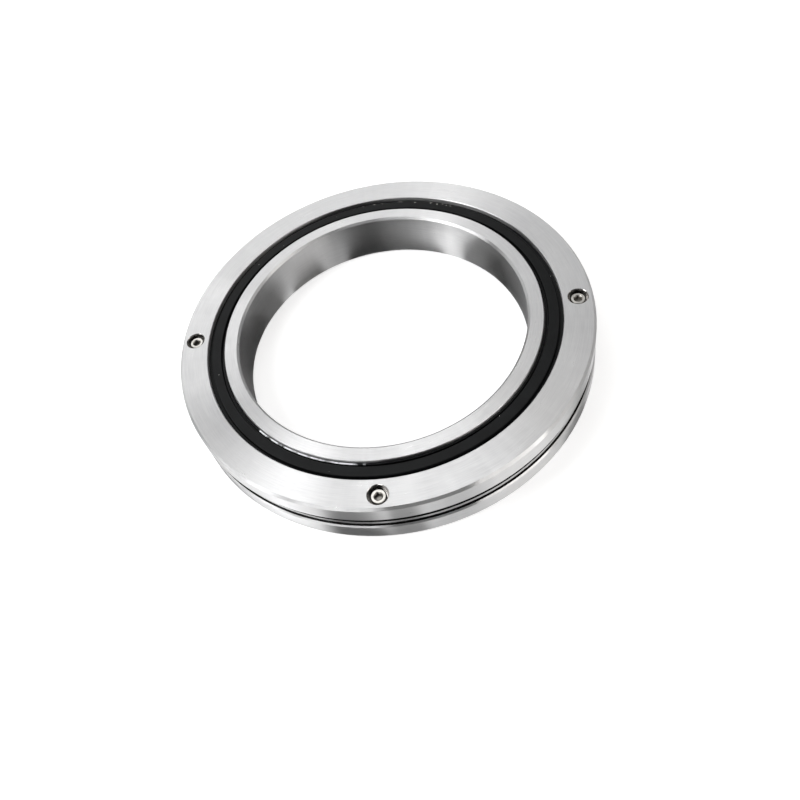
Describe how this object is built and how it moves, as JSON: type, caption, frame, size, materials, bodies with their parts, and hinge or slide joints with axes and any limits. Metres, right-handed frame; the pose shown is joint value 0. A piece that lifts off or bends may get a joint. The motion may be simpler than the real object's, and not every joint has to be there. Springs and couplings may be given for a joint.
{
  "type": "crossed roller bearing",
  "caption": "Ring bearing with crossed cylindrical rollers: a one-piece inner ring turns in a split, screwed outer ring, sealed on both faces.",
  "frame": {"origin": "middle of the bearing: on its axis, halfway between its faces, on the plane of the rollers", "axes": "+Z along the axis towards the face with the screw heads, -Y towards the front screw, +X towards the right screw"},
  "size_m": [0.2, 0.2, 0.025],
  "materials": {
    "ring_steel": "ground satin",
    "roller_steel": "ground and polished",
    "screw_steel": "bright turned",
    "seal_rubber": "moulded, low sheen",
    "spacer_plastic": "moulded, natural"
  },
  "bodies": {
    "outer_ring": {"outer_ring_top": "ring_steel", "outer_ring_bottom": "ring_steel", "seal_top": "seal_rubber", "seal_bottom": "seal_rubber", "fixing_screw_front": "screw_steel", "fixing_screw_left": "screw_steel", "fixing_screw_right": "screw_steel"},
    "inner_ring": {"inner_ring": "ring_steel"},
    "roller_train": {"roller_spacers": "spacer_plastic"},
    "roller_01": {"roller_01": "roller_steel"},
    "roller_02": {"roller_02": "roller_steel"},
    "roller_03": {"roller_03": "roller_steel"},
    "roller_04": {"roller_04": "roller_steel"},
    "roller_05": {"roller_05": "roller_steel"},
    "roller_06": {"roller_06": "roller_steel"},
    "roller_07": {"roller_07": "roller_steel"},
    "roller_08": {"roller_08": "roller_steel"},
    "roller_09": {"roller_09": "roller_steel"},
    "roller_10": {"roller_10": "roller_steel"},
    "roller_11": {"roller_11": "roller_steel"},
    "roller_12": {"roller_12": "roller_steel"},
    "roller_13": {"roller_13": "roller_steel"},
    "roller_14": {"roller_14": "roller_steel"},
    "roller_15": {"roller_15": "roller_steel"},
    "roller_16": {"roller_16": "roller_steel"},
    "roller_17": {"roller_17": "roller_steel"},
    "roller_18": {"roller_18": "roller_steel"},
    "roller_19": {"roller_19": "roller_steel"},
    "roller_20": {"roller_20": "roller_steel"},
    "roller_21": {"roller_21": "roller_steel"},
    "roller_22": {"roller_22": "roller_steel"},
    "roller_23": {"roller_23": "roller_steel"},
    "roller_24": {"roller_24": "roller_steel"},
    "roller_25": {"roller_25": "roller_steel"},
    "roller_26": {"roller_26": "roller_steel"},
    "roller_27": {"roller_27": "roller_steel"},
    "roller_28": {"roller_28": "roller_steel"},
    "roller_29": {"roller_29": "roller_steel"},
    "roller_30": {"roller_30": "roller_steel"},
    "roller_31": {"roller_31": "roller_steel"},
    "roller_32": {"roller_32": "roller_steel"},
    "roller_33": {"roller_33": "roller_steel"},
    "roller_34": {"roller_34": "roller_steel"},
    "roller_35": {"roller_35": "roller_steel"},
    "roller_36": {"roller_36": "roller_steel"},
    "roller_37": {"roller_37": "roller_steel"},
    "roller_38": {"roller_38": "roller_steel"},
    "roller_39": {"roller_39": "roller_steel"},
    "roller_40": {"roller_40": "roller_steel"},
    "roller_41": {"roller_41": "roller_steel"},
    "roller_42": {"roller_42": "roller_steel"},
    "roller_43": {"roller_43": "roller_steel"},
    "roller_44": {"roller_44": "roller_steel"},
    "roller_45": {"roller_45": "roller_steel"},
    "roller_46": {"roller_46": "roller_steel"}
  },
  "joints": [
    {"name": "inner_ring_turn", "type": "hinge", "parent": "outer_ring", "child": "inner_ring", "pos_m": [0, 0, 0], "axis": [0, 0, 1], "continuous": true},
    {"name": "roller_train_turn", "type": "hinge", "parent": "outer_ring", "child": "roller_train", "pos_m": [0, 0, 0], "axis": [0, 0, 1], "continuous": true},
    {"name": "roller_01_spin", "type": "hinge", "parent": "roller_train", "child": "roller_01", "pos_m": [0.082, 0, 0], "axis": [0.7071, 0, 0.7071], "continuous": true},
    {"name": "roller_02_spin", "type": "hinge", "parent": "roller_train", "child": "roller_02", "pos_m": [0.08124, 0.01117, 0], "axis": [-0.7005, -0.0963, 0.7071], "continuous": true},
    {"name": "roller_03_spin", "type": "hinge", "parent": "roller_train", "child": "roller_03", "pos_m": [0.07896, 0.02212, 0], "axis": [0.6809, 0.1908, 0.7071], "continuous": true},
    {"name": "roller_04_spin", "type": "hinge", "parent": "roller_train", "child": "roller_04", "pos_m": [0.07521, 0.03267, 0], "axis": [-0.6486, -0.2817, 0.7071], "continuous": true},
    {"name": "roller_05_spin", "type": "hinge", "parent": "roller_train", "child": "roller_05", "pos_m": [0.07007, 0.04261, 0], "axis": [0.6042, 0.3674, 0.7071], "continuous": true},
    {"name": "roller_06_spin", "type": "hinge", "parent": "roller_train", "child": "roller_06", "pos_m": [0.06361, 0.05175, 0], "axis": [-0.5485, -0.4462, 0.7071], "continuous": true},
    {"name": "roller_07_spin", "type": "hinge", "parent": "roller_train", "child": "roller_07", "pos_m": [0.05597, 0.05993, 0], "axis": [0.4826, 0.5168, 0.7071], "continuous": true},
    {"name": "roller_08_spin", "type": "hinge", "parent": "roller_train", "child": "roller_08", "pos_m": [0.04729, 0.06699, 0], "axis": [-0.4078, -0.5777, 0.7071], "continuous": true},
    {"name": "roller_09_spin", "type": "hinge", "parent": "roller_train", "child": "roller_09", "pos_m": [0.03773, 0.07281, 0], "axis": [0.3253, 0.6278, 0.7071], "continuous": true},
    {"name": "roller_10_spin", "type": "hinge", "parent": "roller_train", "child": "roller_10", "pos_m": [0.02746, 0.07727, 0], "axis": [-0.2368, -0.6663, 0.7071], "continuous": true},
    {"name": "roller_11_spin", "type": "hinge", "parent": "roller_train", "child": "roller_11", "pos_m": [0.01668, 0.08029, 0], "axis": [0.1439, 0.6923, 0.7071], "continuous": true},
    {"name": "roller_12_spin", "type": "hinge", "parent": "roller_train", "child": "roller_12", "pos_m": [0.0056, 0.08181, 0], "axis": [-0.0483, -0.7055, 0.7071], "continuous": true},
    {"name": "roller_13_spin", "type": "hinge", "parent": "roller_train", "child": "roller_13", "pos_m": [-0.0056, 0.08181, 0], "axis": [-0.0483, 0.7055, 0.7071], "continuous": true},
    {"name": "roller_14_spin", "type": "hinge", "parent": "roller_train", "child": "roller_14", "pos_m": [-0.01668, 0.08029, 0], "axis": [0.1439, -0.6923, 0.7071], "continuous": true},
    {"name": "roller_15_spin", "type": "hinge", "parent": "roller_train", "child": "roller_15", "pos_m": [-0.02746, 0.07727, 0], "axis": [-0.2368, 0.6663, 0.7071], "continuous": true},
    {"name": "roller_16_spin", "type": "hinge", "parent": "roller_train", "child": "roller_16", "pos_m": [-0.03773, 0.07281, 0], "axis": [0.3253, -0.6278, 0.7071], "continuous": true},
    {"name": "roller_17_spin", "type": "hinge", "parent": "roller_train", "child": "roller_17", "pos_m": [-0.04729, 0.06699, 0], "axis": [-0.4078, 0.5777, 0.7071], "continuous": true},
    {"name": "roller_18_spin", "type": "hinge", "parent": "roller_train", "child": "roller_18", "pos_m": [-0.05597, 0.05993, 0], "axis": [0.4826, -0.5168, 0.7071], "continuous": true},
    {"name": "roller_19_spin", "type": "hinge", "parent": "roller_train", "child": "roller_19", "pos_m": [-0.06361, 0.05175, 0], "axis": [-0.5485, 0.4462, 0.7071], "continuous": true},
    {"name": "roller_20_spin", "type": "hinge", "parent": "roller_train", "child": "roller_20", "pos_m": [-0.07007, 0.04261, 0], "axis": [0.6042, -0.3674, 0.7071], "continuous": true},
    {"name": "roller_21_spin", "type": "hinge", "parent": "roller_train", "child": "roller_21", "pos_m": [-0.07521, 0.03267, 0], "axis": [-0.6486, 0.2817, 0.7071], "continuous": true},
    {"name": "roller_22_spin", "type": "hinge", "parent": "roller_train", "child": "roller_22", "pos_m": [-0.07896, 0.02212, 0], "axis": [0.6809, -0.1908, 0.7071], "continuous": true},
    {"name": "roller_23_spin", "type": "hinge", "parent": "roller_train", "child": "roller_23", "pos_m": [-0.08124, 0.01117, 0], "axis": [-0.7005, 0.0963, 0.7071], "continuous": true},
    {"name": "roller_24_spin", "type": "hinge", "parent": "roller_train", "child": "roller_24", "pos_m": [-0.082, 0, 0], "axis": [0.7071, 0, 0.7071], "continuous": true},
    {"name": "roller_25_spin", "type": "hinge", "parent": "roller_train", "child": "roller_25", "pos_m": [-0.08124, -0.01117, 0], "axis": [-0.7005, -0.0963, 0.7071], "continuous": true},
    {"name": "roller_26_spin", "type": "hinge", "parent": "roller_train", "child": "roller_26", "pos_m": [-0.07896, -0.02212, 0], "axis": [0.6809, 0.1908, 0.7071], "continuous": true},
    {"name": "roller_27_spin", "type": "hinge", "parent": "roller_train", "child": "roller_27", "pos_m": [-0.07521, -0.03267, 0], "axis": [-0.6486, -0.2817, 0.7071], "continuous": true},
    {"name": "roller_28_spin", "type": "hinge", "parent": "roller_train", "child": "roller_28", "pos_m": [-0.07007, -0.04261, 0], "axis": [0.6042, 0.3674, 0.7071], "continuous": true},
    {"name": "roller_29_spin", "type": "hinge", "parent": "roller_train", "child": "roller_29", "pos_m": [-0.06361, -0.05175, 0], "axis": [-0.5485, -0.4462, 0.7071], "continuous": true},
    {"name": "roller_30_spin", "type": "hinge", "parent": "roller_train", "child": "roller_30", "pos_m": [-0.05597, -0.05993, 0], "axis": [0.4826, 0.5168, 0.7071], "continuous": true},
    {"name": "roller_31_spin", "type": "hinge", "parent": "roller_train", "child": "roller_31", "pos_m": [-0.04729, -0.06699, 0], "axis": [-0.4078, -0.5777, 0.7071], "continuous": true},
    {"name": "roller_32_spin", "type": "hinge", "parent": "roller_train", "child": "roller_32", "pos_m": [-0.03773, -0.07281, 0], "axis": [0.3253, 0.6278, 0.7071], "continuous": true},
    {"name": "roller_33_spin", "type": "hinge", "parent": "roller_train", "child": "roller_33", "pos_m": [-0.02746, -0.07727, 0], "axis": [-0.2368, -0.6663, 0.7071], "continuous": true},
    {"name": "roller_34_spin", "type": "hinge", "parent": "roller_train", "child": "roller_34", "pos_m": [-0.01668, -0.08029, 0], "axis": [0.1439, 0.6923, 0.7071], "continuous": true},
    {"name": "roller_35_spin", "type": "hinge", "parent": "roller_train", "child": "roller_35", "pos_m": [-0.0056, -0.08181, 0], "axis": [-0.0483, -0.7055, 0.7071], "continuous": true},
    {"name": "roller_36_spin", "type": "hinge", "parent": "roller_train", "child": "roller_36", "pos_m": [0.0056, -0.08181, 0], "axis": [-0.0483, 0.7055, 0.7071], "continuous": true},
    {"name": "roller_37_spin", "type": "hinge", "parent": "roller_train", "child": "roller_37", "pos_m": [0.01668, -0.08029, 0], "axis": [0.1439, -0.6923, 0.7071], "continuous": true},
    {"name": "roller_38_spin", "type": "hinge", "parent": "roller_train", "child": "roller_38", "pos_m": [0.02746, -0.07727, 0], "axis": [-0.2368, 0.6663, 0.7071], "continuous": true},
    {"name": "roller_39_spin", "type": "hinge", "parent": "roller_train", "child": "roller_39", "pos_m": [0.03773, -0.07281, 0], "axis": [0.3253, -0.6278, 0.7071], "continuous": true},
    {"name": "roller_40_spin", "type": "hinge", "parent": "roller_train", "child": "roller_40", "pos_m": [0.04729, -0.06699, 0], "axis": [-0.4078, 0.5777, 0.7071], "continuous": true},
    {"name": "roller_41_spin", "type": "hinge", "parent": "roller_train", "child": "roller_41", "pos_m": [0.05597, -0.05993, 0], "axis": [0.4826, -0.5168, 0.7071], "continuous": true},
    {"name": "roller_42_spin", "type": "hinge", "parent": "roller_train", "child": "roller_42", "pos_m": [0.06361, -0.05175, 0], "axis": [-0.5485, 0.4462, 0.7071], "continuous": true},
    {"name": "roller_43_spin", "type": "hinge", "parent": "roller_train", "child": "roller_43", "pos_m": [0.07007, -0.04261, 0], "axis": [0.6042, -0.3674, 0.7071], "continuous": true},
    {"name": "roller_44_spin", "type": "hinge", "parent": "roller_train", "child": "roller_44", "pos_m": [0.07521, -0.03267, 0], "axis": [-0.6486, 0.2817, 0.7071], "continuous": true},
    {"name": "roller_45_spin", "type": "hinge", "parent": "roller_train", "child": "roller_45", "pos_m": [0.07896, -0.02212, 0], "axis": [0.6809, -0.1908, 0.7071], "continuous": true},
    {"name": "roller_46_spin", "type": "hinge", "parent": "roller_train", "child": "roller_46", "pos_m": [0.08124, -0.01117, 0], "axis": [-0.7005, 0.0963, 0.7071], "continuous": true}
  ],
  "couplings": [
    {"joint": "roller_train_turn", "follows": "inner_ring_turn", "ratio": 0.47844},
    {"joint": "roller_01_spin", "follows": "inner_ring_turn", "ratio": -8.1851},
    {"joint": "roller_02_spin", "follows": "inner_ring_turn", "ratio": -8.1851},
    {"joint": "roller_03_spin", "follows": "inner_ring_turn", "ratio": -8.1851},
    {"joint": "roller_04_spin", "follows": "inner_ring_turn", "ratio": -8.1851},
    {"joint": "roller_05_spin", "follows": "inner_ring_turn", "ratio": -8.1851},
    {"joint": "roller_06_spin", "follows": "inner_ring_turn", "ratio": -8.1851},
    {"joint": "roller_07_spin", "follows": "inner_ring_turn", "ratio": -8.1851},
    {"joint": "roller_08_spin", "follows": "inner_ring_turn", "ratio": -8.1851},
    {"joint": "roller_09_spin", "follows": "inner_ring_turn", "ratio": -8.1851},
    {"joint": "roller_10_spin", "follows": "inner_ring_turn", "ratio": -8.1851},
    {"joint": "roller_11_spin", "follows": "inner_ring_turn", "ratio": -8.1851},
    {"joint": "roller_12_spin", "follows": "inner_ring_turn", "ratio": -8.1851},
    {"joint": "roller_13_spin", "follows": "inner_ring_turn", "ratio": -8.1851},
    {"joint": "roller_14_spin", "follows": "inner_ring_turn", "ratio": -8.1851},
    {"joint": "roller_15_spin", "follows": "inner_ring_turn", "ratio": -8.1851},
    {"joint": "roller_16_spin", "follows": "inner_ring_turn", "ratio": -8.1851},
    {"joint": "roller_17_spin", "follows": "inner_ring_turn", "ratio": -8.1851},
    {"joint": "roller_18_spin", "follows": "inner_ring_turn", "ratio": -8.1851},
    {"joint": "roller_19_spin", "follows": "inner_ring_turn", "ratio": -8.1851},
    {"joint": "roller_20_spin", "follows": "inner_ring_turn", "ratio": -8.1851},
    {"joint": "roller_21_spin", "follows": "inner_ring_turn", "ratio": -8.1851},
    {"joint": "roller_22_spin", "follows": "inner_ring_turn", "ratio": -8.1851},
    {"joint": "roller_23_spin", "follows": "inner_ring_turn", "ratio": -8.1851},
    {"joint": "roller_24_spin", "follows": "inner_ring_turn", "ratio": -8.1851},
    {"joint": "roller_25_spin", "follows": "inner_ring_turn", "ratio": -8.1851},
    {"joint": "roller_26_spin", "follows": "inner_ring_turn", "ratio": -8.1851},
    {"joint": "roller_27_spin", "follows": "inner_ring_turn", "ratio": -8.1851},
    {"joint": "roller_28_spin", "follows": "inner_ring_turn", "ratio": -8.1851},
    {"joint": "roller_29_spin", "follows": "inner_ring_turn", "ratio": -8.1851},
    {"joint": "roller_30_spin", "follows": "inner_ring_turn", "ratio": -8.1851},
    {"joint": "roller_31_spin", "follows": "inner_ring_turn", "ratio": -8.1851},
    {"joint": "roller_32_spin", "follows": "inner_ring_turn", "ratio": -8.1851},
    {"joint": "roller_33_spin", "follows": "inner_ring_turn", "ratio": -8.1851},
    {"joint": "roller_34_spin", "follows": "inner_ring_turn", "ratio": -8.1851},
    {"joint": "roller_35_spin", "follows": "inner_ring_turn", "ratio": -8.1851},
    {"joint": "roller_36_spin", "follows": "inner_ring_turn", "ratio": -8.1851},
    {"joint": "roller_37_spin", "follows": "inner_ring_turn", "ratio": -8.1851},
    {"joint": "roller_38_spin", "follows": "inner_ring_turn", "ratio": -8.1851},
    {"joint": "roller_39_spin", "follows": "inner_ring_turn", "ratio": -8.1851},
    {"joint": "roller_40_spin", "follows": "inner_ring_turn", "ratio": -8.1851},
    {"joint": "roller_41_spin", "follows": "inner_ring_turn", "ratio": -8.1851},
    {"joint": "roller_42_spin", "follows": "inner_ring_turn", "ratio": -8.1851},
    {"joint": "roller_43_spin", "follows": "inner_ring_turn", "ratio": -8.1851},
    {"joint": "roller_44_spin", "follows": "inner_ring_turn", "ratio": -8.1851},
    {"joint": "roller_45_spin", "follows": "inner_ring_turn", "ratio": -8.1851},
    {"joint": "roller_46_spin", "follows": "inner_ring_turn", "ratio": -8.1851}
  ]
}
